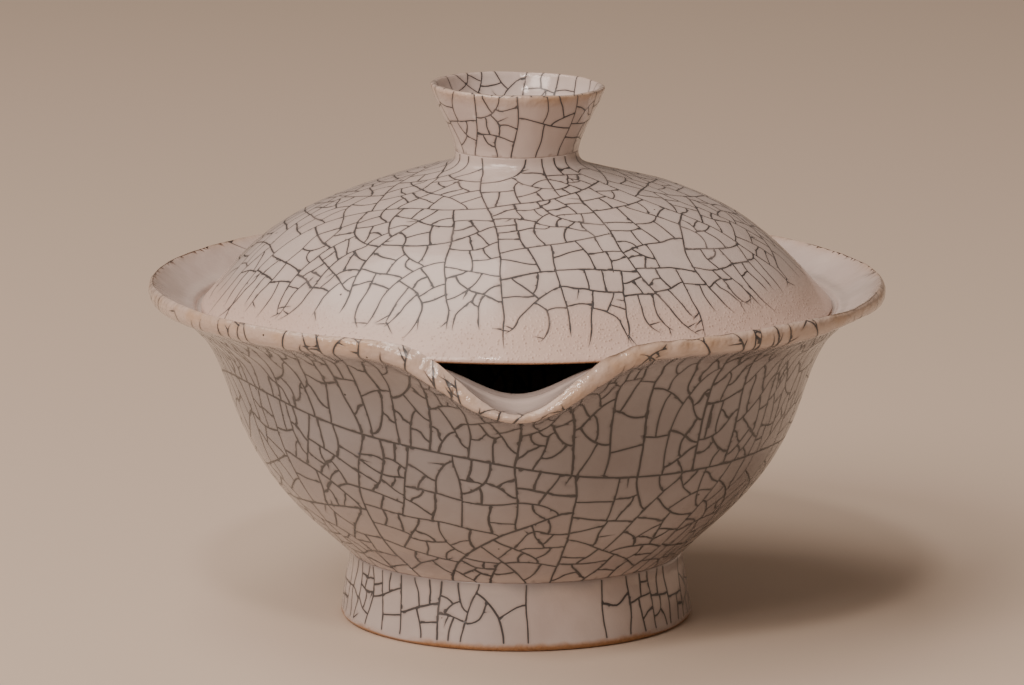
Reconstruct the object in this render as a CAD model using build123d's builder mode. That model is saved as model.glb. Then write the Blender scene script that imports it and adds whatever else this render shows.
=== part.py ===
from build123d import *
import os
from math import cos, pi, radians, sin

# A spouted gaiwan (shoubao) in thick crackle-glazed stoneware: a bowl with a wide
# flanged rim pulled down into a spout, a foot ring luted under it, and a domed lid
# that drops into a recess of the rim and carries a hollow, trumpet-shaped knob.
#
# Millimetres, +Z up. The origin is the centre of the foot ring's flat underside,
# where the bowl stands. The spout pours towards -Y.

# ---- driving dimensions ------------------------------------------------------------

bowl_height = 53.6  # table to the crest of the rim
lid_diameter = 98.4
lid_clearance = 0.6  # radial, between the lid's edge and the recess it drops into
flange_width = 7.7  # recess wall to the outermost line of the rim
flange_rise = 3.9  # recess edge to the crest of the rim
recess_depth = 0.9  # seat to the recess edge
recess_slope = 0.4  # the recess wall leans out by this much
seat_width = 3.0  # flat ledge the lid rests on
lip_thickness = 3.2  # rolled lip of the rim

foot_height = 10.4
foot_top_diameter = 52.2  # where the foot ring is luted to the bowl
foot_bottom_diameter = 55.2
foot_wall = 3.5
edge_round = 0.55  # soft edge that the glaze and the wiping sponge leave

bowl_wall = 3.0
floor_thickness = 3.4
floor_flat_diameter = 30.0  # level middle of the bowl's floor
flare_drop = 17.6  # rim crest down to where the wall begins to flare into the flange
flare_width = 12.5  # outermost line of the rim in to the wall at that height

spout_half_angle = 27.0  # each side of -Y, where the rim starts to dip
spout_sharpness = 3.1  # higher makes a narrower notch in the rim's outer edge
crest_sharpness = 5.0  # the same for its crest, which rolls over outwards at the shoulders
spout_drop = 9.85  # how far the rim's crest dips
spout_reach = 2.8  # how far the lip is drawn outwards
trough_sharpness = 4.6  # the same for the dip in the lid's seat
trough_drop = 4.75  # how far the lid's seat dips under the lid
trough_slope = 0.2  # fall of the trough from the seat to the lip

lid_wall = 2.9
dome_height = 22.1  # seat to where the dome meets the boss
boss_height = 2.5
boss_flare = 2.6  # radial, of the boss's fillet on the dome
lid_crown_thickness = 2.7  # under the boss's root
crown_flat_diameter = 5.0  # level middle of the lid's hollow and of the knob's

knob_height = 10.7
knob_base_diameter = 19.2
knob_top_diameter = 27.3
knob_lip = 1.15  # thickness of the knob's rim
knob_floor = 2.8  # clay under the knob's hollow

spout_step = 2.25  # degrees between two sections of the spout

# ---- heights and radii that follow -------------------------------------------------

recess_edge_z = bowl_height - flange_rise
seat_z = recess_edge_z - recess_depth
lid_radius = lid_diameter / 2
seat_outer = lid_radius + lid_clearance
seat_inner = seat_outer - seat_width
recess_edge = seat_outer + recess_slope
rim_radius = seat_outer + flange_width

foot_top = foot_top_diameter / 2
foot_bottom = foot_bottom_diameter / 2
cup_radius = rim_radius - flare_width
cup_z = bowl_height - flare_drop
floor_flat = floor_flat_diameter / 2
crown_flat = crown_flat_diameter / 2
cup_inner = cup_radius - bowl_wall * 1.06  # the wall leans, so it is cut a little wider
floor_z = foot_height + floor_thickness

dome_top_z = seat_z + dome_height
boss_z = dome_top_z + boss_height
knob_base = knob_base_diameter / 2
knob_top = knob_top_diameter / 2
knob_top_z = boss_z + knob_height


def between(start, end, across, up):
    """The point that lies these shares of the way from start to end."""
    return (start[0] + (end[0] - start[0]) * across, start[1] + (end[1] - start[1]) * up)


def dip(angle, sharpness):
    """How much of the spout is felt at this angle from -Y: 1 at its middle, 0 past its end."""
    if abs(angle) >= spout_half_angle:
        return 0.0
    return cos(pi / 2 * angle / spout_half_angle) ** sharpness


def radial_plane(angle):
    """The upright plane through the axis, at this angle from -Y towards +X."""
    outward = Vector(sin(radians(angle)), -cos(radians(angle)), 0)
    return Plane(origin=(0, 0, 0), x_dir=outward, z_dir=outward.cross(Vector(0, 0, 1)))


def bowl_section(angle):
    """Section of the bowl's floor, wall, flange, lip and seat at an angle from -Y.

    Away from the spout it is the plain profile. Towards the spout the lip is drawn
    down and outwards, and the seat sinks with it until both make one level trough.
    The section stops short of the axis, where the level middle of the floor fills in.
    """
    lip = dip(angle, spout_sharpness)
    roll = dip(angle, crest_sharpness)
    trough = dip(angle, trough_sharpness)

    def drawn(point, reach, drop, felt=lip):
        return (point[0] + spout_reach * reach * felt, point[1] - spout_drop * drop * felt)

    def sunk(point, drop):
        return (point[0] - seat_width / 10 * trough, point[1] - drop * trough)

    base_in = (floor_flat / 2, foot_height)
    base_out = (foot_top, foot_height)
    crest = (rim_radius - 0.9, bowl_height)
    under_lip = (rim_radius - 0.5, bowl_height - lip_thickness)
    wall_out = (cup_radius, cup_z)
    wall_in = (cup_inner, cup_z)
    seat_out = (seat_outer, seat_z)
    seat_in = (seat_inner, seat_z)
    edge = (recess_edge, recess_edge_z)
    floor_out = (floor_flat, floor_z)
    floor_in = (floor_flat / 2, floor_z)
    edge_drop = trough_drop + trough_slope / 2 + recess_depth

    with BuildSketch(radial_plane(angle)) as section:
        with BuildLine():
            Line(base_in, base_out)
            Bezier(
                base_out,
                between(base_out, wall_out, 0.30, 0.18),
                between(base_out, wall_out, 0.76, 0.45),
                wall_out,
            )
            Bezier(
                wall_out,
                drawn(between(wall_out, under_lip, 0.19, 0.46), 0.1, 0.24),
                drawn(between(wall_out, under_lip, 0.36, 0.85), 1.1, 0.74),
                drawn(under_lip, 0.95, 0.84),
            )
            Bezier(
                drawn(under_lip, 0.95, 0.84),
                drawn((rim_radius + 0.35, bowl_height - lip_thickness * 0.75), 1.05, 0.9),
                drawn((rim_radius + 0.3, bowl_height + 0.1), 1.0, 1.0),
                drawn(crest, 1.0, 1.0, roll),
            )
            Bezier(
                drawn(crest, 1.0, 1.0, roll),
                drawn(between(crest, edge, 0.27, 0.18), 0.75, 0.95, roll),
                drawn(between(crest, edge, 0.67, 0.92), 0.4, 0.64, roll),
                sunk(edge, edge_drop),
            )
            Line(sunk(edge, edge_drop), sunk(seat_out, trough_drop + trough_slope / 2))
            Line(sunk(seat_out, trough_drop + trough_slope / 2), sunk(seat_in, trough_drop))
            Bezier(
                sunk(seat_in, trough_drop),
                sunk(between(seat_in, wall_in, 0.14, 0.34), trough_drop * 0.57),
                between(seat_in, wall_in, 0.66, 0.65),
                wall_in,
            )
            Bezier(
                wall_in,
                between(wall_in, floor_out, 0.22, 0.50),
                between(wall_in, floor_out, 0.58, 1.0),
                floor_out,
            )
            Line(floor_out, floor_in)
            Line(floor_in, base_in)
        make_face()
    return section.sketch


# ---- the bowl ----------------------------------------------------------------------
# The cup is thrown in one piece with its flange, and the spout is pulled out of the
# flange while the clay is soft, so cup, flange, seat and spout are one solid.

section_count = round(2 * spout_half_angle / spout_step)
spout_angles = [
    spout_half_angle * (2 * step / section_count - 1) for step in range(section_count + 1)
]

with BuildPart() as bowl:
    revolve(
        bowl_section(spout_half_angle),
        axis=Axis.Z,
        revolution_arc=360 - 2 * spout_half_angle,
    )
    loft([bowl_section(angle).face() for angle in spout_angles])
    with BuildSketch(Plane.XY.offset(foot_height)):
        Circle(floor_flat * 0.75)
    extrude(amount=floor_thickness)

bowl.part.label = "bowl"

# ---- the foot ring -----------------------------------------------------------------
# A coil of clay luted under the bowl and turned. It flares a little towards the
# table, and stands on a flat ring that is wiped clean of glaze.

foot_inner_bottom = foot_bottom - foot_wall
foot_inner_top = foot_top - foot_wall

with BuildPart() as foot_ring:
    with BuildSketch(Plane.XZ) as foot_profile:
        with BuildLine():
            top_out = (foot_top, foot_height)
            low_out = (foot_bottom, edge_round)
            Bezier(
                top_out,
                between(top_out, low_out, 0.26, 0.18),
                between(top_out, low_out, 0.86, 0.82),
                low_out,
            )
            RadiusArc(low_out, (foot_bottom - edge_round, 0), edge_round)
            Line((foot_bottom - edge_round, 0), (foot_inner_bottom + edge_round, 0))
            RadiusArc(
                (foot_inner_bottom + edge_round, 0),
                (foot_inner_bottom, edge_round),
                edge_round,
            )
            Line((foot_inner_bottom, edge_round), (foot_inner_top, foot_height))
            Line((foot_inner_top, foot_height), top_out)
        make_face()
    revolve(axis=Axis.Z)

foot_ring.part.label = "foot_ring"

# ---- the lid -----------------------------------------------------------------------
# A thrown dome. Its flat lower edge rests on the bowl's seat, inside the recess, and
# a low boss on its crown takes the knob.

dome_edge = (lid_radius, seat_z + edge_round)
dome_crown = (knob_base + boss_flare, dome_top_z)
boss_edge = (knob_base, boss_z)
hollow_edge = (lid_radius - lid_wall, seat_z)
hollow_crown = (crown_flat, dome_top_z - lid_crown_thickness)

with BuildPart() as lid:
    with BuildSketch(Plane.XZ) as lid_profile:
        with BuildLine():
            Bezier(
                dome_edge,
                between(dome_edge, dome_crown, 0.31, 0.73),
                between(dome_edge, dome_crown, 0.66, 0.84),
                dome_crown,
            )
            Bezier(
                dome_crown,
                between(dome_crown, boss_edge, 0.75, 0.20),
                between(dome_crown, boss_edge, 0.97, 0.50),
                boss_edge,
            )
            Line(boss_edge, (0, boss_z))
            Line((0, boss_z), (0, hollow_crown[1]))
            Line((0, hollow_crown[1]), hollow_crown)
            Bezier(
                hollow_crown,
                between(hollow_edge, hollow_crown, 0.62, 1.0),
                between(hollow_edge, hollow_crown, 0.25, 0.70),
                hollow_edge,
            )
            Line(hollow_edge, (lid_radius - edge_round, seat_z))
            RadiusArc((lid_radius - edge_round, seat_z), dome_edge, -edge_round)
        make_face()
    revolve(axis=Axis.Z)

lid.part.label = "lid"

# ---- the knob ----------------------------------------------------------------------
# Thrown hollow like a small cup, flaring to a thin rim, and luted on the boss. Turned
# over, the lid stands on it like a saucer on its foot.

knob_foot = (knob_base, boss_z)
knob_flare = (knob_top, knob_top_z - knob_lip / 2)
knob_inside = (knob_top - knob_lip, knob_top_z - knob_lip / 4)
knob_well = (crown_flat, boss_z + knob_floor)

with BuildPart() as knob:
    with BuildSketch(Plane.XZ) as knob_profile:
        with BuildLine():
            Line((0, boss_z), knob_foot)
            Bezier(
                knob_foot,
                between(knob_foot, knob_flare, 0.17, 0.31),
                between(knob_foot, knob_flare, 0.81, 0.75),
                knob_flare,
            )
            ThreePointArc(
                knob_flare,
                (knob_top - knob_lip * 0.45, knob_top_z),
                knob_inside,
            )
            Bezier(
                knob_inside,
                between(knob_inside, knob_well, 0.12, 0.45),
                between(knob_inside, knob_well, 0.36, 1.0),
                knob_well,
            )
            Line(knob_well, (0, knob_well[1]))
            Line((0, knob_well[1]), (0, boss_z))
        make_face()
    revolve(axis=Axis.Z)

knob.part.label = "knob"

# ---- write the pieces --------------------------------------------------------------

os.makedirs("parts", exist_ok=True)
export_step(bowl.part, "parts/bowl.step")
export_step(foot_ring.part, "parts/foot_ring.step")
export_step(lid.part, "parts/lid.step")
export_step(knob.part, "parts/knob.step")
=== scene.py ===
import math
import random

import bpy
import numpy as np
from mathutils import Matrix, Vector, kdtree
from mathutils.geometry import delaunay_2d_cdt


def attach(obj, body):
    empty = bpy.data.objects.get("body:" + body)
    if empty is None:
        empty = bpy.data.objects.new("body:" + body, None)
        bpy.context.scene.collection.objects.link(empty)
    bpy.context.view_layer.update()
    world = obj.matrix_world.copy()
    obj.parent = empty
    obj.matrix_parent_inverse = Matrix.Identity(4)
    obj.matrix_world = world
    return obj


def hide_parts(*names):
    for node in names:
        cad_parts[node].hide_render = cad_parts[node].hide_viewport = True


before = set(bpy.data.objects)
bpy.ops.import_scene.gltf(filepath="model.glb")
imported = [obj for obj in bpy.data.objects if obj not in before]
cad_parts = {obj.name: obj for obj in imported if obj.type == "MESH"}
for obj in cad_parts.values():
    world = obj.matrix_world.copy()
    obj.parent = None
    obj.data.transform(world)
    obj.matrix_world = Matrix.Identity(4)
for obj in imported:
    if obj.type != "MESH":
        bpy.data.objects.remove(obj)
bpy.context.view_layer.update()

# ---- the bowl ----------------------------------------------------------------------
# Thrown from a stoneware body in one piece with its wide flange, the lid's seat and
# the recess around it. The spout was pulled out of the soft rim with a finger, which
# rolled the rim over at its shoulders. The glaze is thick, and crackled as it cooled.

mm = 0.001  # sizes are in millimetres until a mesh is made

foot_height = 10.4
foot_top = 26.1  # radius where the foot ring is luted on
floor_height = foot_height + 3.4
floor_flat = 15.0
belly = (45.0, 36.0)  # radius and height where the wall begins to flare
belly_inside = (41.82, 36.0)
bowl_crest = 53.6
rim_radius = 57.5
lip_thickness = 3.2
seat_height = 48.8
seat_inner = 46.8
seat_outer = 49.8
recess_edge = (50.2, 49.7)

spout_angle = math.radians(27.0)  # each side of the spout's middle
spout_drop = 9.85
spout_reach = 2.8
seat_dip = 4.75
pole = 1.2  # radius where a turned skin is closed with a fan

turn = 2 * math.pi
touch = 1e-5  # places on an unrolled skin that are nearer than this are one


def between(start, end, across, up):
    """The point that lies these shares of the way from start to end."""
    return (start[0] + (end[0] - start[0]) * across, start[1] + (end[1] - start[1]) * up)


def bowl_section(lip=0.0, roll=0.0, trough=0.0):
    """The bowl's section, from the middle of its base over the rim to its floor.

    lip, roll and trough say how much of the spout is felt by the rim's outer edge,
    by its crest and by the lid's seat. Curves have four points, straight lines two.
    """

    def drawn(point, reach, drop, felt=lip):
        return (point[0] + spout_reach * reach * felt, point[1] - spout_drop * drop * felt)

    def sunk(point, drop):
        return (point[0] - 0.3 * trough, point[1] - drop * trough)

    base = (foot_top, foot_height)
    under_lip = (rim_radius - 0.5, bowl_crest - lip_thickness)
    crest = (rim_radius - 0.9, bowl_crest)
    seat_in = (seat_inner, seat_height)
    floor_edge = (floor_flat, floor_height)
    under_now = drawn(under_lip, 0.95, 0.84)
    crest_now = drawn(crest, 1.0, 1.0, roll)
    edge_now = sunk(recess_edge, seat_dip + 1.0)
    seat_out_now = sunk((seat_outer, seat_height), seat_dip + 0.1)
    seat_in_now = sunk(seat_in, seat_dip)
    outside = [
        [base, between(base, belly, 0.30, 0.18), between(base, belly, 0.76, 0.45), belly],
        [
            belly,
            drawn(between(belly, under_lip, 0.19, 0.46), 0.1, 0.24),
            drawn(between(belly, under_lip, 0.36, 0.85), 1.1, 0.74),
            under_now,
        ],
        [
            under_now,
            drawn((rim_radius + 0.35, bowl_crest - lip_thickness * 0.75), 1.05, 0.9),
            drawn((rim_radius + 0.3, bowl_crest + 0.1), 1.0, 1.0),
            crest_now,
        ],
    ]
    inside = [
        [
            crest_now,
            drawn(between(crest, recess_edge, 0.27, 0.18), 0.75, 0.95, roll),
            drawn(between(crest, recess_edge, 0.67, 0.92), 0.4, 0.64, roll),
            edge_now,
        ],
        [edge_now, seat_out_now],
        [seat_out_now, seat_in_now],
        [
            seat_in_now,
            sunk(between(seat_in, belly_inside, 0.14, 0.34), seat_dip * 0.57),
            between(seat_in, belly_inside, 0.66, 0.65),
            belly_inside,
        ],
        [
            belly_inside,
            between(belly_inside, floor_edge, 0.22, 0.50),
            between(belly_inside, floor_edge, 0.58, 1.0),
            floor_edge,
        ],
        [floor_edge, (pole, floor_height)],
    ]
    return [[[(pole, foot_height), base]], outside, inside]


def follow(stroke, count):
    """Points along a straight line or a curve, without its last one."""
    share = np.linspace(0, 1, count, endpoint=False)[:, None]
    points = [np.array(point, float) * np.ones_like(share) for point in stroke]
    while len(points) > 1:
        points = [a + (b - a) * share for a, b in zip(points, points[1:])]
    return points[0]


def crossing_waves(seed, wavelength):
    """Many slanting waves that add up to an even lumpiness, as a function of points."""
    count = 16
    draw = np.random.default_rng(seed)
    way = draw.normal(size=(count, 3))
    way /= np.linalg.norm(way, axis=1)[:, None]
    way *= 2 * np.pi / wavelength * draw.uniform(0.7, 1.4, (count, 1))
    phase = draw.uniform(0, 2 * np.pi, count)

    def height(points):
        return np.sin(points @ way.T + phase).sum(1) / math.sqrt(count / 2)

    return height


class Turned:
    """A form thrown on the wheel: a section turned about the upright axis.

    A place on it is an angle from the spout and a climb, the length along the section
    counted in radii. Angle and climb unroll the skin onto a plane without skewing it,
    and a length there times the radius is the length on the clay.
    """

    grain = 0.15  # between two points of the section
    highest_lump = 1.6  # lumps are levelled here and set below the section's own line
    feeler = 0.12  # how far to each side a slope is felt

    def __init__(self, section, softness, pulls=(), lean=None, uneven=()):
        self.softness = softness
        self.pulls = pulls
        self.lean = lean
        self.uneven = uneven
        plain = section()
        self.counts = [
            [max(3, round(self.length(stroke) / self.grain)) for stroke in run] for run in plain
        ]
        points = self.sample(plain)
        self.moves = [self.sample(section(**{name: 1.0})) - points for name, _ in pulls]
        step = np.hypot(*np.diff(points, axis=0).T)
        middle = (points[1:, 0] + points[:-1, 0]) / 2
        self.climb = np.concatenate([[0], np.cumsum(step / middle)])
        self.along = np.concatenate([[0], np.cumsum(step)])
        self.points = points
        slope = np.gradient(points, axis=0)
        slope /= np.hypot(*slope.T)[:, None]
        self.slope = slope
        self.outward = np.stack([slope[:, 1], -slope[:, 0]], 1)

    def length(self, stroke):
        return np.hypot(*np.diff(np.array(stroke, float), axis=0).T).sum()

    def sample(self, runs):
        """The section's points, with each run's corners softened as glaze softens them."""
        pieces = []
        for run, counts, soft in zip(runs, self.counts, self.softness):
            width = soft / self.grain
            reach = int(width * 3)
            weight = np.exp(-0.5 * (np.arange(-reach, reach + 1) / width) ** 2)
            weight /= weight.sum()
            line = [follow(stroke, count) for stroke, count in zip(run, counts)]
            line = np.concatenate(line + [np.array([run[-1][-1]], float)])
            before = 2 * line[0] - line[1:reach + 1][::-1]
            after = 2 * line[-1] - line[-reach - 1:-1][::-1]
            padded = np.concatenate([before, line, after])
            eased = [np.convolve(padded[:, axis], weight, "valid") for axis in (0, 1)]
            pieces.append(np.stack(eased, 1))
        return np.concatenate([pieces[0]] + [piece[1:] for piece in pieces[1:]])

    def read(self, climb, values):
        return np.interp(climb, self.climb, values)

    def along_at(self, climb):
        """How far along the section places lie, from its start."""
        return self.read(climb, self.along)

    def height_at(self, climb):
        return self.read(climb, self.points[:, 1])

    def radius(self, climb):
        return float(self.read(climb, self.points[:, 0]))

    def climb_at(self, along):
        return float(np.interp(along, self.along, self.climb))

    def place(self, angle, climb, bare=False):
        """Where places on the skin lie, in millimetres."""
        out = self.read(climb, self.points[:, 0])
        up = self.read(climb, self.points[:, 1])
        for (_, felt), move in zip(self.pulls, self.moves):
            share = felt(angle)
            out = out + share * self.read(climb, move[:, 0])
            up = up + share * self.read(climb, move[:, 1])
        around = np.stack([np.sin(angle), -np.cos(angle)], 1)
        points = np.column_stack([around * out[:, None], up])
        if not bare:
            if self.lean:
                points = self.lean(points)
            leaning_out = self.read(climb, self.outward[:, 0])
            leaning_up = self.read(climb, self.outward[:, 1])
            away = np.column_stack([around * leaning_out[:, None], leaning_up])
            for amount, lumps in self.uneven:
                height = np.minimum(lumps(points), self.highest_lump) - self.highest_lump
                height = height * amount(angle, climb)
                points = points + away * height[:, None]
        return points

    def normals(self, angle, climb):
        """The skin's outward directions, from places a short way to each side."""
        side = self.feeler / np.maximum(self.read(climb, self.points[:, 0]), 1.0)
        low = np.maximum(climb - side, self.climb[0])
        high = np.minimum(climb + side, self.climb[-1])
        round_it = self.place(angle + side, climb) - self.place(angle - side, climb)
        up_it = self.place(angle, high) - self.place(angle, low)
        out = np.cross(round_it, up_it)
        return out / np.maximum(np.linalg.norm(out, axis=1), 1e-12)[:, None]


class Crackle:
    """The crack network of a glaze, grown on the plane that a turned form unrolls to.

    Cells are split one after the other across their longer way, each new crack turning
    to meet the older ones squarely, as cracks in a cooling glaze do.
    """

    stride = 0.65  # between two points of a crack
    bend = 0.5  # how much a crack may curve over its cell's reach
    catch = 0.5  # how near a wall is, in cells, when a crack turns towards it
    facing = 0.15  # how much the crack must already face that wall
    pull = 0.85  # how squarely it then meets the wall
    most_strides = 700
    size_spread = (0.75, 1.3)  # how much cells differ in size from their neighbours
    patch_spread = 0.33  # and from patch to patch
    fray_length = 8.0  # how far the longest cracks run on past a frayed line
    fray_share = 1.0  # how many of them run on
    twigs = 0.2  # how many of their points send out a side crack
    twig_length = (0.8, 2.6)
    twig_angle = (0.6, 1.3)
    hairlines = 0.04  # how many cells have a crack that stops inside them

    def __init__(self, form, seed, cell, tall=1.0, waver=0.06, wide=0.15):
        self.form = form
        self.draw = random.Random(seed)
        self.cell = cell if callable(cell) else lambda angle, climb: cell
        self.tall = tall if callable(tall) else lambda climb: tall
        self.waver = waver
        self.wide = wide
        self.patchy = crossing_waves(seed, 14.0)
        self.cracks = []
        self.fray = None
        sway = crossing_waves(seed + 1, 3.0)
        self.sway = lambda climb: sway(np.array([[climb, 0.3 * climb, 1.0]]))[0]

    def nearest_wall(self, walls, here):
        """The nearest point of a cell's walls, and how far it is."""
        start, along, span = walls
        share = np.clip(((here - start) * along).sum(1) / span, 0, 1)
        foot = start + share[:, None] * along
        gap = np.hypot(*(foot - here).T)
        best = int(gap.argmin())
        return foot[best], gap[best]

    def hit(self, walls, here, there):
        """Where a step first goes through a wall, and which wall that is."""
        start, along, _ = walls
        step = there - here
        across = step[0] * along[:, 1] - step[1] * along[:, 0]
        across = np.where(np.abs(across) < 1e-15, 1e-15, across)
        to_wall = start - here
        far = (to_wall[:, 0] * along[:, 1] - to_wall[:, 1] * along[:, 0]) / across
        side = (to_wall[:, 0] * step[1] - to_wall[:, 1] * step[0]) / across
        good = np.flatnonzero((far > 1e-9) & (far <= 1) & (side >= 0) & (side <= 1))
        if not len(good):
            return None
        first = good[far[good].argmin()]
        return tuple(here + step * far[first]), int(first)

    def walls(self, cell):
        """A cell's sides: where each starts, its run and its squared length."""
        start = np.array(cell)
        along = np.roll(start, -1, 0) - start
        return start, along, np.maximum((along ** 2).sum(1), 1e-18)

    def walk(self, walls, start, heading, bend, length=None):
        """A crack that wanders off from start until it meets a wall or is long enough.

        Gives its points, the wall it met, if any, and where it was heading at its end.
        """
        here = np.array(start)
        path = [tuple(start)]
        gone = 0.0
        for _ in range(self.most_strides):
            radius = self.form.radius(here[1])
            catch = self.cell(*here) * self.catch
            heading += (bend + self.draw.gauss(0, self.waver)) * self.stride
            ahead = np.array([math.cos(heading), math.sin(heading)])
            if walls is not None:
                foot, gap = self.nearest_wall(walls, here)
                if 0 < gap * radius < catch:
                    toward = (foot - here) / gap
                    if toward @ ahead > self.facing:
                        pull = self.pull * (1 - gap * radius / catch)
                        ahead = ahead * (1 - pull) + toward * pull
                        heading = math.atan2(ahead[1], ahead[0])
                        ahead = np.array([math.cos(heading), math.sin(heading)])
            there = here + ahead * self.stride / radius
            if walls is not None:
                met = self.hit(walls, here, there)
                if met:
                    path.append(met[0])
                    return path, met[1], heading
            gone += self.stride
            if not self.form.climb[0] < there[1] < self.form.climb[-1]:
                return path, None, heading
            here = there
            path.append(tuple(here))
            if length is not None and gone >= length:
                return path, None, heading
        return path, None, heading

    def measure(self, cell):
        """A cell's middle, its area on the clay and the way it lies longest."""
        points = np.array(cell)
        after = np.roll(points, -1, 0)
        cross = points[:, 0] * after[:, 1] - after[:, 0] * points[:, 1]
        area = cross.sum() / 2
        middle = ((points + after) * cross[:, None]).sum(0) / (6 * area)
        radius = self.form.radius(middle[1])
        edge = np.hypot(*(after - points).T)
        arm = (points + after) / 2 - middle
        arm[:, 1] /= self.tall(middle[1])
        spread = (arm * edge[:, None]).T @ arm / edge.sum()
        values, ways = np.linalg.eigh(spread)
        longest = math.atan2(ways[1, 1], ways[0, 1])
        return middle, abs(area) * radius ** 2, longest, math.sqrt(max(values[1], 0)) * radius

    def room(self, middle):
        """How large a cell may stay at a place."""
        place = self.form.place(np.array([middle[0]]), np.array([middle[1]]), bare=True)
        patch = math.exp(self.patch_spread * float(self.patchy(place)[0]))
        return 1.4 * self.cell(*middle) ** 2 * patch * self.draw.uniform(*self.size_spread)

    def split(self, cell):
        """The roundest of a few tries at a crack across a cell, and its two halves."""
        middle, _, longest, reach = self.measure(cell)
        walls = self.walls(cell)
        too_thin, good, good_enough, picky_tries = 0.08, 0.70, 0.62, 4
        best, split = too_thin, None
        for attempt in range(10):
            off = self.draw.gauss(0, 0.22) * reach / self.form.radius(middle[1])
            spot = (middle[0] + off * math.cos(longest), middle[1] + off * math.sin(longest))
            heading = longest + math.pi / 2 + self.draw.gauss(0, 0.2)
            bend = self.draw.gauss(0, self.bend) / min(max(reach, 2.0), 12.0)
            one, first, end_one = self.walk(walls, spot, heading, bend)
            two, second, end_two = self.walk(walls, spot, heading + math.pi, -bend)
            if first is None or second is None or first == second:
                continue
            path = two[::-1] + one[1:]
            left = path + self.corners_between(cell, first, second)
            right = path[::-1] + self.corners_between(cell, second, first)
            form = min(self.roundness(left), self.roundness(right))
            if form > best:
                best, split = form, (path, left, right, (two[-1], end_two), (one[-1], end_one))
            if best > good or best > good_enough and attempt >= picky_tries:
                break
        if split:
            self.fray_on(*split[3])
            self.fray_on(*split[4])
            return split[:3]
        return None

    def roundness(self, cell):
        """1 for a round cell, less for a long or spiky one, 0 for one turned inside out."""
        points = np.array(cell)
        points[:, 1] /= self.tall(points[:, 1].mean())
        after = np.roll(points, -1, 0)
        area = (points[:, 0] * after[:, 1] - after[:, 0] * points[:, 1]).sum() / 2
        around = np.hypot(*(after - points).T).sum()
        return 4 * math.pi * area / max(around, 1e-9) ** 2

    def corners_between(self, cell, first, second):
        """The cell's corners from just after one wall to the start of another."""
        count = len(cell)
        steps = (second - first) % count
        return [cell[(first + 1 + k) % count] for k in range(steps)]

    def fray_on(self, end, heading):
        """A crack that reaches the frayed line runs on past it, forks and dies out."""
        if self.fray is None or abs(end[1] - np.interp(end[0], *self.fray.T)) > 1e-4:
            return
        if self.draw.random() > self.fray_share:
            return
        length = self.draw.uniform(0.35, 1.0) ** 1.4 * self.fray_length
        path, _, heading = self.walk(None, end, heading, self.draw.gauss(0, 0.12), length)
        self.cracks.append((path, self.wide, 0.0))
        for spot in path[2:-1]:
            if self.draw.random() < self.twigs:
                side = heading + self.draw.choice((-1, 1)) * self.draw.uniform(*self.twig_angle)
                length = self.draw.uniform(*self.twig_length)
                twig, _, _ = self.walk(None, spot, side, 0.0, length)
                self.cracks.append((twig, self.wide * 0.8, 0.0))

    def hoop(self, climb, sway):
        """A wavy line once round the form, that ends where it began."""
        waves = 5
        radius = self.form.radius(climb)
        count = max(24, round(turn * radius / self.stride))
        phases = [self.draw.uniform(0, turn) for _ in range(waves)]
        line = []
        for k in range(count + 1):
            angle = turn * k / count
            lift = sum(math.sin((n + 1) * angle + p) / (n + 1) for n, p in enumerate(phases))
            line.append((angle, climb + lift * sway / radius))
        return line

    def grow(self, hoops, seam):
        """Grow the network between hoops, each (length along the section, sway, kind).

        A hoop is a crack, or open where it isn't one, or frayed where cracks run on past
        it and die out. seam is the angle of the upright crack that the cells open from.
        """
        lines = []
        for along, sway, kind in hoops:
            line = self.hoop(self.form.climb_at(along), sway)
            shift = self.seam_at(line[0][1], seam)
            line = [(angle + shift, climb) for angle, climb in line]
            lines.append(line)
            if kind == "crack":
                self.cracks.append((line, self.wide, None))
            if kind == "frayed":
                self.fray = np.array(line)
        cells = []
        for low, high in zip(lines, lines[1:]):
            left = self.upright(low[0][1], high[0][1], seam)
            right = [(angle + turn, climb) for angle, climb in left]
            self.cracks.append((left, self.wide, None))
            cells.append(low[:-1] + right[:-1] + high[::-1][:-1] + left[::-1][:-1])
        while cells:
            cell = cells.pop()
            middle, area, _, _ = self.measure(cell)
            if area < self.room(middle):
                self.hairline(cell, area)
                continue
            parts = self.split(cell)
            if parts:
                path, left, right = parts
                fine = self.wide * self.draw.uniform(0.75, 1.1)
                self.cracks.append((path, fine, None))
                cells += [left, right]

    def hairline(self, cell, area):
        """Now and then a finished cell has a short crack that stops inside it."""
        if self.draw.random() > self.hairlines:
            return
        count = len(cell)
        k = self.draw.randrange(count)
        a, b = cell[k], cell[(k + 1) % count]
        start = ((a[0] + b[0]) / 2, (a[1] + b[1]) / 2)
        middle = self.measure(cell)[0]
        heading = math.atan2(middle[1] - start[1], middle[0] - start[0])
        reach = math.sqrt(area) * 0.45
        path, met, _ = self.walk(self.walls(cell), start, heading, 0.0, reach)
        if met is None and len(path) > 2:
            self.cracks.append((path, self.wide * 0.75, 0.0))

    def seam_at(self, climb, seam):
        return seam + 0.05 * self.sway(climb)

    def upright(self, low, high, seam):
        """The upright crack that a band of cells opens from."""
        count = max(4, round((high - low) * self.form.radius((low + high) / 2) / self.stride))
        climbs = [low + (high - low) * k / count for k in range(count + 1)]
        return [(self.seam_at(climb, seam), climb) for climb in climbs]


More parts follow.
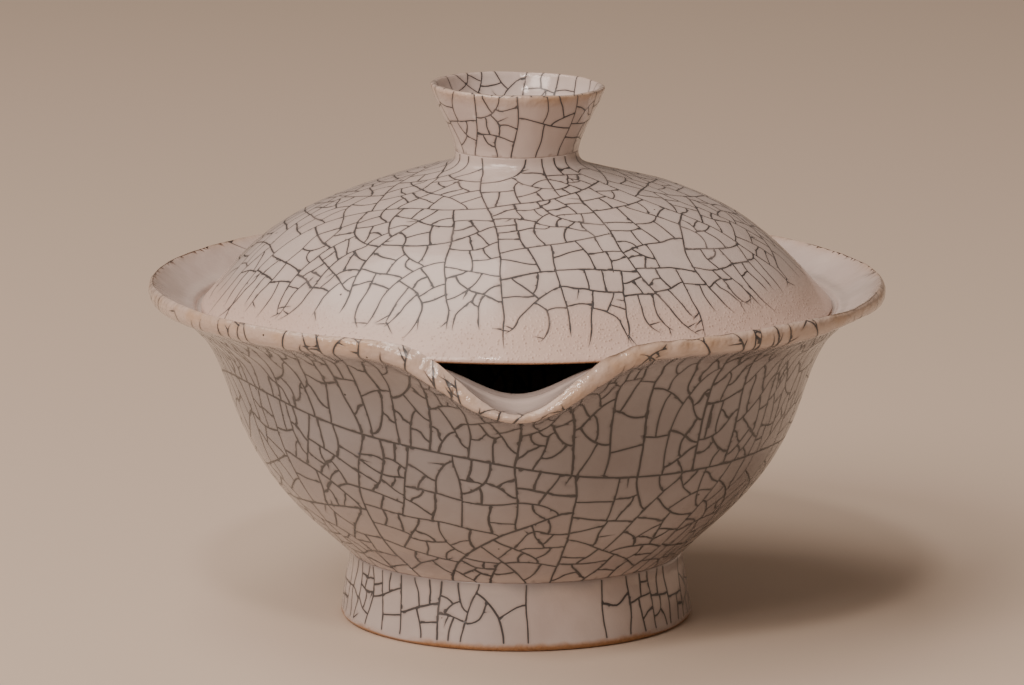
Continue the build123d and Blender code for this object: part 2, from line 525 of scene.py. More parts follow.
class Unrolled:
    """The plane that a turned form unrolls to, being laid out with points and lines.

    A little more than one turn is laid out, so that the skin closes at its seam.
    """

    snap = 3e-4  # an angle this near the seam lies on it
    digits = 5  # places that agree to this many digits are one point

    def __init__(self, form):
        self.form = form
        self.low, self.high = form.climb[0], form.climb[-1]
        self.spots, self.edges, self.known = [], [], {}

    def spot(self, angle, climb):
        if abs(abs(angle) - math.pi) < self.snap:
            angle = math.copysign(math.pi, angle)
        key = (round(angle, self.digits), round(climb, self.digits))
        if key not in self.known:
            self.known[key] = len(self.spots)
            self.spots.append(Vector((angle, climb)))
        return self.known[key]

    def lay(self, line):
        """A line and its copies one turn on, as far as they lie in the plane's margins."""
        for shift in (-turn, 0.0, turn):
            last = None
            for angle, climb in line:
                margin = 0.03 + 1.4 / self.form.radius(climb)
                inside = abs(angle + shift) <= math.pi + margin and self.low <= climb <= self.high
                this = self.spot(angle + shift, climb) if inside else None
                if last is not None and this is not None and this != last:
                    self.edges.append((last, this))
                last = this

    def lay_cracks(self, cracks):
        """The cracks, each moved by whole turns to where the plane is laid out."""
        for path, _, _ in cracks:
            middle = sum(angle for angle, _ in path) / len(path)
            shift = turn * math.floor((middle + math.pi) / turn)
            self.lay([(angle - shift, climb) for angle, climb in path])

    def lay_seam(self, spacing):
        """The upright line that the skin is closed at."""
        line, climb = [], self.low
        while climb < self.high:
            line.append((-math.pi, climb))
            climb += spacing(climb) / self.form.radius(climb)
        self.lay(line + [(-math.pi, self.high)])

    def lay_rings(self, spacing, draw, closest=math.radians(13)):
        """A ring at each end, and at every place where the section has turned by closest."""
        slope = self.form.slope
        turned = np.abs(np.diff(np.unwrap(np.arctan2(slope[:, 1], slope[:, 0]))))
        bend = 0.0
        rings = [self.low, self.high]
        for k, amount in enumerate(turned):
            bend += amount
            if bend > closest:
                rings.append(float(self.form.climb[k]))
                bend = 0.0
        for climb in rings:
            radius = self.form.radius(climb)
            count = max(9, round(turn * radius / (spacing(climb) * 0.85)))
            off = 0.5 if climb in (self.low, self.high) else draw.uniform(0, 1)
            self.lay([(-math.pi + turn * (k + off) / count, climb) for k in range(count + 1)])

    def lay_fill(self, spacing, draw, distance, clear=0.33, shake=0.2):
        """Loose points in shaken rows, but none closer to a crack than clear."""
        fill = []
        climb = self.low
        while climb < self.high:
            radius = self.form.radius(climb)
            gap = spacing(climb)
            count = max(6, round(turn * radius / gap))
            off = draw.uniform(0, 1)
            for k in range(count):
                angle = -math.pi + turn * (k + off + draw.uniform(-shake, shake)) / count
                lift = climb + draw.uniform(-shake, shake) * gap / radius
                if self.low < lift < self.high:
                    fill.append((angle, lift))
            climb += 0.87 * gap / radius
        fill = np.array(fill)
        for angle, climb in fill[distance(*fill.T)[0] > clear]:
            self.lay([(angle, climb)])


def crack_distance(form, cracks, parts=5):
    """A function that gives places' distances to the nearest crack and that one's width.

    Each stride of a crack is measured at this many parts.
    """
    tree = kdtree.KDTree(sum((len(path) - 1) * parts + 1 for path, _, _ in cracks))
    widths = []
    for path, wide, end in cracks:
        line = np.array(path)
        index = np.arange(len(line))
        share = np.linspace(0, len(line) - 1, (len(line) - 1) * parts + 1)
        angle = np.interp(share, index, line[:, 0])
        climb = np.interp(share, index, line[:, 1])
        taper = np.ones(len(share))
        if end is not None:
            taper = np.clip(np.linspace(1, end, len(share)) * 1.6, 0, 1)
        for point, width in zip(form.place(angle, climb, bare=True), wide * taper):
            tree.insert(point, len(widths))
            widths.append(width)
    tree.balance()

    def distance(angle, climb):
        found = [tree.find(point) for point in form.place(angle, climb, bare=True)]
        return np.array([f[2] for f in found]), np.array([widths[f[1]] for f in found])

    return distance


def meshed(sheet, crack_edges, distance, on_crack=0.03, off_crack=0.08):
    """The plane's points, their crack distances and widths, and its three-sided faces.

    Where a face or an edge between two cracks would read as crack all over, a point is
    added in its middle, and the plane is meshed again.
    """
    most_rounds = 4
    for _ in range(most_rounds):
        flat, links, faces, _, sources, _ = delaunay_2d_cdt(
            sheet.spots, sheet.edges, [], 0, 1e-8, True
        )
        plane = np.array([tuple(point) for point in flat])
        gap, wide = distance(*plane.T)
        links = np.array(links)
        cracked = np.array([any(s < crack_edges for s in source) for source in sources])
        gap[links[cracked]] = 0.0
        bridging = (gap[links] < on_crack).all(1) & ~cracked
        corners = np.array([face[:3] for face in faces])
        pinched = (gap[corners] < on_crack).all(1)
        middle = np.concatenate([plane[links[bridging]].mean(1), plane[corners[pinched]].mean(1)])
        middle = middle[np.abs(middle[:, 0]) <= math.pi]
        if not len(middle):
            break
        for angle, climb in middle[distance(*middle.T)[0] > off_crack]:
            sheet.lay([(angle, climb)])
    return plane, gap, wide, corners


def closed_round(plane, corners, low, high):
    """The faces of one turn, with the points past the seam replaced by those within."""
    centre = plane[corners].mean(1)
    keep = (centre[:, 0] >= -math.pi) & (centre[:, 0] < math.pi)
    keep &= plane[corners, 1].max(1) > low + touch
    keep &= plane[corners, 1].min(1) < high - touch
    corners = corners[keep]
    home = kdtree.KDTree(len(plane))
    inside = (plane[:, 0] > -math.pi - touch) & (plane[:, 0] < math.pi - touch)
    rolled = np.column_stack([np.cos(plane[:, 0]), np.sin(plane[:, 0]), plane[:, 1]])
    for k in np.flatnonzero(inside):
        home.insert(rolled[k], int(k))
    home.balance()
    same = np.arange(len(plane))
    for k in np.unique(corners[~inside[corners]]):
        same[k] = home.find(rolled[k])[1]
    corners = same[corners]
    return corners[(corners != np.roll(corners, -1, 1)).all(1)]


def coated(name, form, crackle, spacing, coats, welded=False):
    """A turned form's mesh, with its cracks as edges and its coats as attributes.

    Every point knows how far the nearest crack is and how wide that crack is, both in
    millimetres, so that a material can draw the cracks sharp at any size. A welded
    form is a ring, whose section ends where it began. Other forms are closed by fans.
    """
    sheet = Unrolled(form)
    low, high = sheet.low, sheet.high
    draw = random.Random(name)
    distance = crack_distance(form, crackle.cracks)
    sheet.lay_cracks(crackle.cracks)
    crack_edges = len(sheet.edges)
    sheet.lay_seam(spacing)
    sheet.lay_rings(spacing, draw)
    sheet.lay_fill(spacing, draw, distance)
    plane, gap, wide, corners = meshed(sheet, crack_edges, distance)
    corners = closed_round(plane, corners, low, high)
    if welded:
        ends = [np.flatnonzero(np.abs(plane[:, 1] - end) < touch) for end in (low, high)]
        ends = [end[np.isin(end, corners)] for end in ends]
        first, last = [end[np.argsort(plane[end, 0])] for end in ends]
        partner = np.arange(len(plane))
        partner[last] = first
        corners = partner[corners]
    used, corners = np.unique(corners, return_inverse=True)
    angle, climb = plane[used].T
    gap, wide = gap[used], wide[used]
    faces = corners.reshape(-1, 3).tolist()
    points = form.place(angle, climb).tolist()
    outward = form.normals(angle, climb).tolist()

    for end in () if welded else (low, high):
        rim = np.flatnonzero(np.abs(climb - end) < touch)
        order = rim[np.argsort(angle[rim])].tolist()
        centre = len(points)
        middle = np.mean([points[k] for k in order], axis=0)
        points.append([0.0, 0.0, float(middle[2])])
        outward.append(np.mean([outward[k] for k in order], axis=0).tolist())
        gap, wide = np.append(gap, 1.0), np.append(wide, crackle.wide)
        angle, climb = np.append(angle, 0.0), np.append(climb, end)
        for a, b in zip(order, order[1:] + order[:1]):
            faces.append((a, b, centre) if end == high else (b, a, centre))

    mesh = bpy.data.meshes.new(name)
    mesh.from_pydata([[value * mm for value in point] for point in points], [], faces)
    mesh.update()
    mesh.polygons.foreach_set("use_smooth", [True] * len(mesh.polygons))
    mesh.normals_split_custom_set_from_vertices(outward)
    layers = {"crack": gap, "wire": wide}
    layers.update({coat: np.clip(rule(angle, climb), 0, 1) for coat, rule in coats.items()})
    for title, values in layers.items():
        layer = mesh.attributes.new(title, "FLOAT", "POINT")
        layer.data.foreach_set("value", np.asarray(values, np.float32))
    piece = bpy.data.objects.new(name, mesh)
    bpy.context.scene.collection.objects.link(piece)
    return piece


def felt(sharpness):
    """How much of the spout is felt at an angle: 1 at its middle, 0 past its ends."""

    def share(angle):
        turned = (np.asarray(angle) + math.pi) % turn - math.pi
        within = np.clip(np.abs(turned) / spout_angle, 0, 1)
        return np.cos(np.pi / 2 * within) ** sharpness

    return share


def bump_range(value, low, high):
    """0 below low, 1 above high, smooth in between."""
    share = np.clip((value - low) / (high - low), 0, 1)
    return share * share * (3 - 2 * share)


def bowl_lean(points):
    """The rim warped a little in the fire: it stands lower on one side."""
    warp = 0.3
    out = np.hypot(points[:, 0], points[:, 1])
    share = bump_range(out, seat_outer + 1.2, rim_radius - 1.5)
    points = points.copy()
    points[:, 2] -= warp * share * (0.5 + 0.5 * points[:, 0] / rim_radius)
    return points


def bowl_lumps(angle, climb):
    """The rim is the least even part, above all at the spout's shoulders."""
    past_crest = bowl_form.along_at(climb) - crest_along
    shoulder_angle = 0.38
    shoulder = np.exp(-((np.abs(np.asarray(angle)) - shoulder_angle) / 0.2) ** 2)
    on_rim = bump_range(past_crest, -9.0, -3.0) * bump_range(-past_crest, -5.0, -1.0)
    return (0.025 + 0.06 * shoulder) * on_rim


def bowl_swell(angle, climb):
    """The wall swells unevenly, but the lid's seat and the luted base are true."""
    out = bowl_form.read(climb, bowl_form.points[:, 0])
    up = bowl_form.height_at(climb)
    inward = bump_range(-out, -seat_outer - 2.0, -seat_outer - 0.6)
    on_seat = inward * bump_range(up, seat_height - 4.8, seat_height - 0.8)
    return 0.13 * bump_range(up, foot_height, foot_height + 3.0) * (1 - on_seat)


bowl_form = Turned(
    bowl_section,
    softness=(0.3, 0.8, 0.3),
    pulls=(("lip", felt(3.1)), ("roll", felt(5.0)), ("trough", felt(4.6))),
    lean=bowl_lean,
    uneven=((bowl_lumps, crossing_waves(3, 4.2)), (bowl_swell, crossing_waves(5, 34.0))),
)
crease_along = foot_top - pole
crest_along = float(bowl_form.along[np.argmax(bowl_form.points[:, 1])])

from_seat = bowl_form.points - (seat_inner, seat_height)
seat_along = float(bowl_form.along[np.argmin(np.hypot(*from_seat.T))])


def bowl_cell(angle, climb):
    """Cells are small and even outside, and broader inside, where the glaze is thin."""
    return 4.6 if bowl_form.along_at(climb) > crest_along else 3.8


def bowl_tall(climb):
    """Under the lip the cells are drawn out upright, and lower down they are square."""
    above = bowl_form.along_at(climb) - crease_along
    return 1.0 + 1.7 * float(bump_range(above, 26.0, 40.0))


bowl_crackle = Crackle(bowl_form, seed=11, cell=bowl_cell, tall=bowl_tall, wide=0.165)
bowl_crackle.fray_length = 7.5
bowl_crackle.fray_share = 0.6
bowl_crackle.grow(
    [
        (0.0, 0.0, "open"),
        (crease_along - 0.3, 0.0, "open"),
        (crease_along + 32.0, 6.0, "crack"),
        (crest_along - 4.2, 0.8, "frayed"),
    ],
    seam=math.pi - 0.3,
)
bowl_crackle.grow(
    [(seat_along + 2.5, 0.6, "open"), (bowl_form.along[-1], 0.0, "open")], seam=math.pi - 0.1
)


def bowl_spacing(climb):
    """The mesh is fine on the wall and the rim, and coarser under and inside them."""
    along = bowl_form.along_at(climb)
    return 1.15 if crease_along < along < crest_along + 10.0 else 2.2


def bowl_thin(angle, climb):
    """Glaze runs off a sharp lip, and the clay's tan shows through."""
    past_crest = bowl_form.along_at(climb) - crest_along
    return np.exp(-((past_crest + 1.2) / 1.9) ** 2)


def bowl_painted_shade(angle, climb):
    """Painted shade: the outside wall is greyed from the foot up to just under the lip, deepest
    high up under the flange's overhang; the lip and the inside stay pale.
    """
    along = bowl_form.along_at(climb)
    above, below = along - crease_along, crest_along - along
    deeper = 0.65 + 0.35 * bump_range(above, 5.0, 30.0)
    return deeper * bump_range(above, -1.0, 4.0) * bump_range(below, 2.5, 7.0)


bowl = coated(
    "bowl_glazed",
    bowl_form,
    bowl_crackle,
    bowl_spacing,
    {"thin": bowl_thin, "shade_and_stain": bowl_painted_shade},
)


class Grade:
    """One value in a glaze recipe: a socket that can be reckoned with like a number."""

    def __init__(self, recipe, socket):
        self.recipe = recipe
        self.socket = socket

    def reckon(self, operation, left, right):
        return self.recipe.node("ShaderNodeMath", {"operation": operation}, {0: left, 1: right})

    def __add__(self, other):
        return self.reckon("ADD", self, other)

    def __sub__(self, other):
        return self.reckon("SUBTRACT", self, other)

    def __mul__(self, other):
        return self.reckon("MULTIPLY", self, other)

    def __radd__(self, other):
        return self.reckon("ADD", other, self)

    def __rsub__(self, other):
        return self.reckon("SUBTRACT", other, self)

    def __rmul__(self, other):
        return self.reckon("MULTIPLY", other, self)

    def grow_from(self, low, high):
        """0 at low, 1 at high, smooth in between. low may be the larger of the two."""
        settings = {"interpolation_type": "SMOOTHSTEP"}
        return self.recipe.node("ShaderNodeMapRange", settings, {0: self, 1: low, 2: high})


class Recipe:
    """A glaze being mixed: one material and the nodes that make it up."""

    def __init__(self, name):
        self.material = bpy.data.materials.new(name)
        self.material.use_nodes = True
        self.tree = self.material.node_tree
        self.shader = self.tree.nodes["Principled BSDF"]
        self.place = self.node("ShaderNodeTexCoord", out="Object")

    def node(self, kind, settings=None, sockets=None, out=0):
        """A node with its settings, then its sockets' values or links. Gives one output."""
        made = self.tree.nodes.new(kind)
        for key, value in (settings or {}).items():
            setattr(made, key, value)
        for key, value in (sockets or {}).items():
            self.feed(made.inputs[key], value)
        return Grade(self, made.outputs[out])

    def feed(self, socket, value):
        if isinstance(value, Grade):
            self.tree.links.new(value.socket, socket)
        else:
            socket.default_value = value

    def layer(self, name):
        """One of the mesh's own coats or crack measures."""
        return self.node("ShaderNodeAttribute", {"attribute_name": name}, out="Fac")

    def noise(self, size, detail=2.0, rough=0.5, shift=(0, 0, 0)):
        """Soft noise whose patches are about size millimetres wide."""
        moved = self.node(
            "ShaderNodeVectorMath", {"operation": "ADD"}, {0: self.place, 1: shift}
        )
        sockets = {"Vector": moved, "Scale": 1 / (size * mm), "Detail": detail, "Roughness": rough}
        return self.node("ShaderNodeTexNoise", {}, sockets, out="Fac")

    def mix(self, share, one, two, blend="MIX"):
        """One colour going over to another by a share."""
        settings = {"data_type": "RGBA", "blend_type": blend, "clamp_factor": True}
        made = self.node("ShaderNodeMix", settings, {"Factor": share}, out=2)
        colours = [socket for socket in made.socket.node.inputs if socket.type == "RGBA"]
        for socket, colour in zip(colours, (one, two)):
            self.feed(socket, colour if isinstance(colour, Grade) else (*colour, 1.0))
        return made

    def tint(self, share, colour, wash):
        """A colour with a wash over it, by a share."""
        return self.mix(share, colour, wash, "MULTIPLY")

    def spots(self, size):
        """The distance to the nearest of many scattered points, counted in size mm."""
        sockets = {"Vector": self.place, "Scale": 1 / (size * mm), "Randomness": 1.0}
        return self.node("ShaderNodeTexVoronoi", {"feature": "F1"}, sockets, out="Distance")


def crackle_glaze(name, soaked):
    """Thick milky glaze, stained cracks, tan where it ran thin and small faults.

    soaked is how much soot the palest crack holds, from 0 to 1.
    """
    glaze = Recipe(name)
    crack, wire = glaze.layer("crack"), glaze.layer("wire")
    thin, bare, dry = glaze.layer("thin"), glaze.layer("bare"), glaze.layer("dry")

    milky, rose = (0.63, 0.545, 0.51), (0.60, 0.505, 0.465)
    pool = glaze.noise(16.0, 2.0).grow_from(0.35, 0.68)
    colour = glaze.mix(pool, milky, rose)
    cloud = glaze.noise(5.0, 3.0).grow_from(0.3, 0.75)
    colour = glaze.tint(cloud, colour, (0.93, 0.92, 0.915))
    shade_and_tea_grey, dry_pink = (0.49, 0.53, 0.58), (0.66, 0.492, 0.412)
    # a grey wash: painted shade on the bowl's outside wall and in the crease atop the foot ring,
    # and tea stain in the foot's cracked glaze
    colour = glaze.tint(glaze.layer("shade_and_stain"), colour, shade_and_tea_grey)
    colour = glaze.mix(dry * 0.8, colour, dry_pink)

    tan = (0.50, 0.33, 0.20)
    tan_patch = glaze.noise(9.0, 3.0, 0.6, (0.3, 0.1, 0.2)).grow_from(0.42, 0.70)
    colour = glaze.mix(thin * (0.42 + 0.45 * tan_patch), colour, tan)

    dark_rust, light_rust = (0.30, 0.145, 0.06), (0.42, 0.22, 0.10)
    clay_grain = glaze.noise(0.5, 4.0, 0.7).grow_from(0.3, 0.7)
    colour = glaze.mix(bare, colour, glaze.mix(clay_grain, dark_rust, light_rust))

    # a crack is a dark line, wider and paler by patches, with a faint grey halo
    patchy = glaze.noise(2.2, 2.0, 0.5, (0.1, 0.4, 0.0))
    half = wire * (0.55 + 0.9 * patchy)
    line = (crack - half).grow_from(0.055, -0.045)
    halo = (crack - half).grow_from(0.55, 0.0)
    colour = glaze.tint(halo * halo * 0.8, colour, (0.80, 0.79, 0.79))
    soot, grey_soot = (0.034, 0.032, 0.033), (0.085, 0.078, 0.077)
    ink = glaze.mix(patchy, soot, grey_soot)
    depth = glaze.noise(7.0, 2.0, 0.5, (0.7, 0.1, 0.9)).grow_from(0.22, 0.45)
    depth = depth * (1 - soaked) + soaked
    colour = glaze.mix(line * depth, colour, ink)

    # a few black pits, and fine brown specks where the glaze is dry
    pit = glaze.spots(7.0).grow_from(0.034, 0.022)
    colour = glaze.mix(pit * 0.9, colour, (0.03, 0.025, 0.02))
    fine_speck = glaze.spots(0.55)
    spotted = glaze.noise(1.1, 1.0, 0.5, (0.9, 0.2, 0.5)).grow_from(0.52, 0.62)
    speck = fine_speck.grow_from(0.34, 0.14) * spotted * dry
    colour = glaze.mix(speck * 0.5, colour, (0.24, 0.15, 0.10))
    glaze.feed(glaze.shader.inputs["Base Color"], colour)

    rough = 0.20 + dry * 0.20 + line * 0.25 + bare * 0.55 - thin * 0.08
    glaze.feed(glaze.shader.inputs["Roughness"], rough)

    # heights in millimetres
    peel = glaze.noise(1.3, 2.0) * 0.05
    swell = glaze.noise(6.0, 1.0) * 0.22
    groove = line * -0.05
    grit = fine_speck.grow_from(0.5, 0.1) * dry * 0.05
    clay_tooth = clay_grain * bare * 0.05
    beading = glaze.noise(1.6, 2.0, 0.5, (0.5, 0.5, 0.1)) * thin * 0.42
    height = peel + swell + groove + grit + clay_tooth + beading - pit * 0.15
    sockets = {"Strength": 1.0, "Distance": mm, "Height": height}
    glaze.feed(glaze.shader.inputs["Normal"], glaze.node("ShaderNodeBump", {}, sockets))
    glaze.shader.inputs["IOR"].default_value = 1.5
    glaze.shader.inputs["Coat Weight"].default_value = 0.3
    glaze.shader.inputs["Coat Roughness"].default_value = 0.08
    return glaze.material


bowl.data.materials.append(crackle_glaze("bowl_crackle_glaze", soaked=0.9))
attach(bowl, "bowl_body")
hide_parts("bowl")

# ---- the foot ring -----------------------------------------------------------------
# A coil of the same clay, luted under the bowl and turned to a slight flare. It was
# glazed with the bowl, and the ring it stands on was wiped to the bare, rusty clay.

foot_bottom = 27.6
foot_wall = 3.5
foot_edge = 0.55


def foot_section():
    """The foot ring's section, from its luted top down its inside and up its outside."""
    top = (foot_top, foot_height)
    luted = (foot_top - foot_wall / 2, foot_height)
    low = (foot_bottom, foot_edge)
    stand = (foot_bottom - foot_edge * 0.6, 0.0)
    stand_in = (foot_bottom - foot_wall + foot_edge * 0.6, 0.0)
    low_in = (foot_bottom - foot_wall, foot_edge)
    top_in = (foot_top - foot_wall, foot_height)
    outside = [low, between(top, low, 0.86, 0.82), between(top, low, 0.26, 0.18), top]
    skirt = [[top_in, low_in], [low_in, stand_in], [stand_in, stand], [stand, low], outside]
    return [[[luted, top_in]], skirt, [[top, luted]]]


def foot_swell(angle, climb):
    """Uneven like the wall above it, but true where it is luted and where it stands."""
    up = foot_form.height_at(climb)
    return 0.09 * bump_range(up, 0.0, 2.0) * bump_range(-up, -foot_height, -foot_height + 2.0)


foot_form = Turned(
    foot_section, softness=(0.3, 0.3, 0.3), uneven=((foot_swell, crossing_waves(8, 12.0)),)
)
foot_stand_along = float(foot_form.along[np.argmin(foot_form.points[:, 1])]) + foot_wall / 2


def near_whole_cell(angle, wide):
    """From 0 far from the one broad cell near the front to 1 in its middle."""
    middle = 0.31
    return np.exp(-(((angle - middle + math.pi) % turn - math.pi) / wide) ** 2)


def foot_cell(angle, climb):
    """One broad cell near the front stayed whole."""
    return 3.3 + 6.5 * near_whole_cell(angle, 0.2)


foot_crackle = Crackle(foot_form, seed=35, cell=foot_cell, tall=1.15)
foot_crackle.grow(
    [(foot_wall / 2 + 0.2, 0.0, "open"), (foot_stand_along - 3.5, 0.2, "open")], seam=math.pi
)
foot_crackle.grow(
    [
        (foot_stand_along + 1.6, 0.15, "open"),
        (foot_form.along[-1] - foot_wall / 2 - 0.3, 0.0, "open"),
    ],
    seam=math.pi,
)


def foot_bare(angle, climb):
    """The foot was wiped clean to a wavering line just above the edge it stands on."""
    up = foot_form.height_at(climb)
    line = 0.75 + 0.22 * np.sin(3 * angle + 1.0) + 0.12 * np.sin(11 * angle)
    return bump_range(line - up, -0.22, 0.22)


def foot_shade_and_stain(angle, climb):
    """Painted shade in the crease under the bowl, along the ring's top, and real tea grey in the
    glaze that cracked, though not in the one whole cell.
    """
    up = foot_form.height_at(climb)
    reach = foot_height - 2.0 - 0.5 * np.sin(7 * angle) - 0.4 * np.sin(16 * angle + 1.0)
    crazed = 0.3 * (1 - near_whole_cell(angle, 0.25))
    return crazed + (0.75 - crazed) * bump_range(up, reach, reach + 2.4)


foot_ring = coated(
    "foot_ring_glazed",
    foot_form,
    foot_crackle,
    lambda climb: 0.9,
    {"bare": foot_bare, "shade_and_stain": foot_shade_and_stain},
    welded=True,
)
foot_ring.data.materials.append(crackle_glaze("foot_crackle_glaze", soaked=0.85))
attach(foot_ring, "bowl_body")
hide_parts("foot_ring")

# ---- the lid -----------------------------------------------------------------------
# A thrown dome with a small turned boss for the knob. It sits loose in the bowl's
# recess. Its glaze is thinner and drier towards the edge, where the crackle frays out,
# and the edge it sits on is bare.

lid_radius = 49.2
lid_edge = 0.55
lid_hollow = (46.3, 48.8)
lid_hollow_top = 68.2
lid_crown = (12.2, 70.9)
boss_top = (9.6, 73.4)


def lid_section():
    """The lid's section, from the middle of its hollow round the edge to its boss."""
    edge = (lid_radius, seat_height + lid_edge)
    rest = (lid_radius - lid_edge, seat_height)
    hollow_crown = (2.5, lid_hollow_top)
    hollow = [
        hollow_crown,
        between(lid_hollow, hollow_crown, 0.25, 0.70),
        between(lid_hollow, hollow_crown, 0.62, 1.0),
        lid_hollow,
    ]
    curl = lid_edge * 0.552  # how far a curve's inner points lie for a quarter circle
    edge_curl = [rest, (rest[0] + curl, rest[1]), (edge[0], edge[1] - curl), edge]
    dome = [
        edge,
        between(edge, lid_crown, 0.31, 0.73),
        between(edge, lid_crown, 0.66, 0.84),
        lid_crown,
    ]
    boss = [
        lid_crown,
        between(lid_crown, boss_top, 0.75, 0.20),
        between(lid_crown, boss_top, 0.97, 0.50),
        boss_top,
    ]
    under = [[(pole, lid_hollow_top), hollow_crown], hollow]
    return [under, [[lid_hollow, rest], edge_curl, dome, boss], [[boss_top, (pole, boss_top[1])]]]


def lid_swell(angle, climb):
    """The dome is uneven, but the edge it sits on and the boss's top are true."""
    up = lid_form.height_at(climb)
    below_boss_top = bump_range(boss_top[1] - up, 0.0, 1.4)
    return 0.12 * bump_range(up, seat_height, seat_height + 3.0) * below_boss_top


lid_form = Turned(
    lid_section, softness=(0.3, 0.3, 0.3), uneven=((lid_swell, crossing_waves(13, 26.0)),)
)
lid_edge_along = float(lid_form.along[np.argmax(lid_form.points[:, 0])])
lid_foot_along = float(lid_form.along[np.argmin(lid_form.points[:, 1])])
boss_along = float(lid_form.along[-1]) - (boss_top[0] - pole)

lid_crackle = Crackle(lid_form, seed=37, cell=3.4, waver=0.08, wide=0.13)
lid_crackle.fray_length = 5.5
lid_crackle.grow([(0.0, 0.0, "open"), (lid_foot_along - 2.0, 0.3, "open")], seam=math.pi)
lid_crackle.grow(
    [(lid_edge_along + 7.5, 1.8, "frayed"), (boss_along - 0.2, 0.0, "open")],
    seam=math.pi + 0.2,
)


def lid_spacing(climb):
    """The mesh is fine on the dome, and coarser in the hollow and on the hidden boss."""
    along = lid_form.along_at(climb)
    return 1.0 if lid_foot_along - 2.0 < along < boss_along + 1.0 else 2.2


def lid_dry(angle, climb):
    """How dry the glaze is, from the lid's edge up to a wavering line."""
    above = lid_form.along_at(climb) - lid_edge_along
    line = 8.0 + 1.2 * np.sin(2 * angle + 0.6) + 0.7 * np.sin(5 * angle)
    return bump_range(line - above, -3.0, 4.0) * bump_range(above, -1.2, -0.6)


def lid_bare(angle, climb):
    """The narrow ring that the lid sits on."""
    along = lid_form.along_at(climb)
    past_hollow = bump_range(along, lid_foot_along - 1.5, lid_foot_along - 0.6)
    return past_hollow * bump_range(lid_edge_along - along, 0.0, 0.25)


lid = coated("lid_glazed", lid_form, lid_crackle, lid_spacing, {"dry": lid_dry, "bare": lid_bare})
lid.data.materials.append(crackle_glaze("lid_crackle_glaze", soaked=0.7))
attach(lid, "lid_body")
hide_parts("lid")

# ---- the knob ----------------------------------------------------------------------
# A small hollow cup, thrown apart and luted onto the lid's boss. Fingers hold it by its
# flared rim, where the glaze ran thin and the clay shows through tan.

knob_base = boss_top
knob_flare = (13.65, 83.525)
knob_lip = (13.13, 84.1)  # the highest point of its rim
knob_inside = (12.5, 83.81)
knob_well = (2.5, 76.2)


def knob_section():
    """The knob's section, from the middle of its luted base to its well."""
    wall = [
        knob_base,
        between(knob_base, knob_flare, 0.17, 0.31),
        between(knob_base, knob_flare, 0.81, 0.75),
        knob_flare,
    ]
    lip_out = [
        knob_flare,
        (knob_flare[0] + 0.08, knob_lip[1] - 0.2),
        (knob_lip[0] + 0.25, knob_lip[1]),
        knob_lip,
    ]
    lip_in = [
        knob_lip,
        (knob_lip[0] - 0.28, knob_lip[1]),
        (knob_inside[0] + 0.16, knob_lip[1] - 0.08),
        knob_inside,
    ]
    well = [
        knob_inside,
        between(knob_inside, knob_well, 0.12, 0.45),
        between(knob_inside, knob_well, 0.36, 1.0),
        knob_well,
    ]
    floor = [knob_well, (pole, knob_well[1])]
    return [[[(pole, knob_base[1]), knob_base]], [wall, lip_out, lip_in, well, floor]]


def knob_lean(points):
    """The knob was set a little askew, so that its top leans to one side."""
    rise = (points[:, 2] - knob_base[1]) / (knob_lip[1] - knob_base[1])
    aside, dip = 0.2, 0.31
    points = points.copy()
    points[:, 0] += aside * rise
    points[:, 2] -= dip * rise * (1 + points[:, 0] / knob_flare[0])
    return points


def knob_swell(angle, climb):
    """Uneven, but true where it is luted on."""
    up = knob_form.height_at(climb)
    return 0.06 * bump_range(up, knob_base[1], knob_base[1] + 1.5)


knob_form = Turned(
    knob_section,
    softness=(0.3, 0.3),
    lean=knob_lean,
    uneven=((knob_swell, crossing_waves(17, 7.0)),),
)
knob_crest_along = float(knob_form.along[np.argmax(knob_form.points[:, 1])])
knob_crackle = Crackle(knob_form, seed=41, cell=3.5, tall=1.1, wide=0.105)
knob_crackle.grow(
    [
        (knob_base[0] - pole + 0.2, 0.0, "open"),
        (knob_crest_along - 0.6, 0.15, "open"),
        (knob_form.along[-1], 0.0, "open"),
    ],
    seam=math.pi - 0.1,
)


def knob_thin(angle, climb):
    """Tan just outside the rim, where the glaze ran down."""
    past_crest = knob_form.along_at(climb) - knob_crest_along
    return np.exp(-((past_crest + 0.9) / 1.2) ** 2)


knob = coated("knob_glazed", knob_form, knob_crackle, lambda climb: 0.7, {"thin": knob_thin})
knob.data.materials.append(crackle_glaze("knob_crackle_glaze", soaked=0.7))
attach(knob, "lid_body")
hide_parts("knob")

# ---- the table and the light -------------------------------------------------------
# A plain pale table top, wide enough that its edge is never seen. Soft light comes
# from a window at the front left and from a broad panel above, on the left, and a
# small lamp over the front makes the wet lights on the lip.

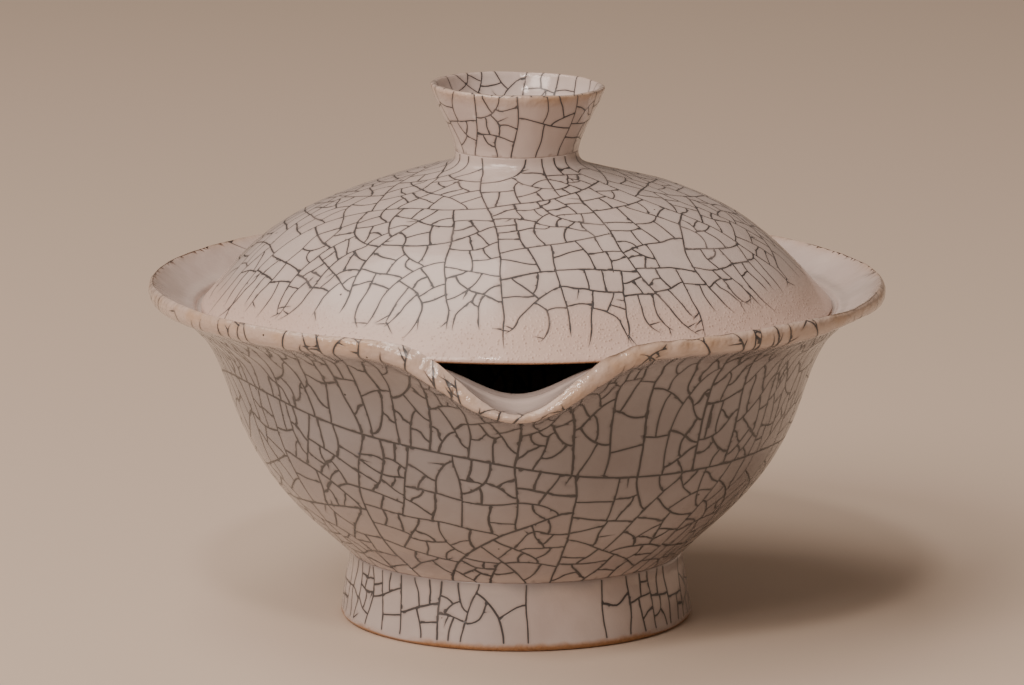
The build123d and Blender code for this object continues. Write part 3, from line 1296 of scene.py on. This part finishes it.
table_radius = 2.5  # metres
table_corners = 60
table_rim = []
for k in range(table_corners):
    angle = turn * k / table_corners
    # a hair below the foot, so that the two faces don't lie in one plane
    table_rim.append((table_radius * math.cos(angle), table_radius * math.sin(angle), -0.05 * mm))
table_mesh = bpy.data.meshes.new("table_top")
table_mesh.from_pydata(table_rim, [], [tuple(range(table_corners))])
table_top = bpy.data.objects.new("table_top", table_mesh)
bpy.context.scene.collection.objects.link(table_top)
table_paint = Recipe("table_paint")
table_paint.shader.inputs["Base Color"].default_value = (0.69, 0.575, 0.47, 1.0)
table_paint.shader.inputs["Roughness"].default_value = 0.6
table_mesh.materials.append(table_paint.material)


middle = Vector((0.0, 0.0, 0.045))
warm_white = (1.0, 0.86, 0.775)


def soft_light(name, place, size, power):
    """A soft square light of this size, turned to face the object's middle."""
    lamp = bpy.data.lights.new(name, "AREA")
    lamp.shape = "SQUARE"
    lamp.size = size
    lamp.energy = power
    lamp.color = warm_white
    stand = bpy.data.objects.new(name, lamp)
    stand.location = place
    stand.rotation_euler = (middle - Vector(place)).to_track_quat("-Z", "Y").to_euler()
    bpy.context.scene.collection.objects.link(stand)


soft_light("window_light", (-0.66, -0.85, 0.85), 0.6, 12.0)
soft_light("ceiling_light", (-0.52, 0.0, 1.2), 0.9, 8.8)
soft_light("reading_lamp", (-0.15, -0.7, 1.0), 0.12, 2.6)

room = bpy.data.worlds.new("room")
room.use_nodes = True
room_glow = room.node_tree.nodes["Background"]
room_glow.inputs["Color"].default_value = (0.55, 0.42, 0.33, 1.0)
room_glow.inputs["Strength"].default_value = 0.35
bpy.context.scene.world = room

camera_pitch = math.radians(10.8)
camera_distance = 0.8892
camera_aim = Vector((-0.0007, 0.0, 0.04287))
camera = bpy.data.objects.new("camera", bpy.data.cameras.new("camera"))
camera.data.sensor_width = 36.0
camera.data.lens = 200.4
camera.location = camera_aim + camera_distance * Vector(
    (0.0, -math.cos(camera_pitch), math.sin(camera_pitch))
)
camera.rotation_euler = (math.pi / 2 - camera_pitch, 0.0, 0.0)
bpy.context.scene.collection.objects.link(camera)
bpy.context.scene.camera = camera
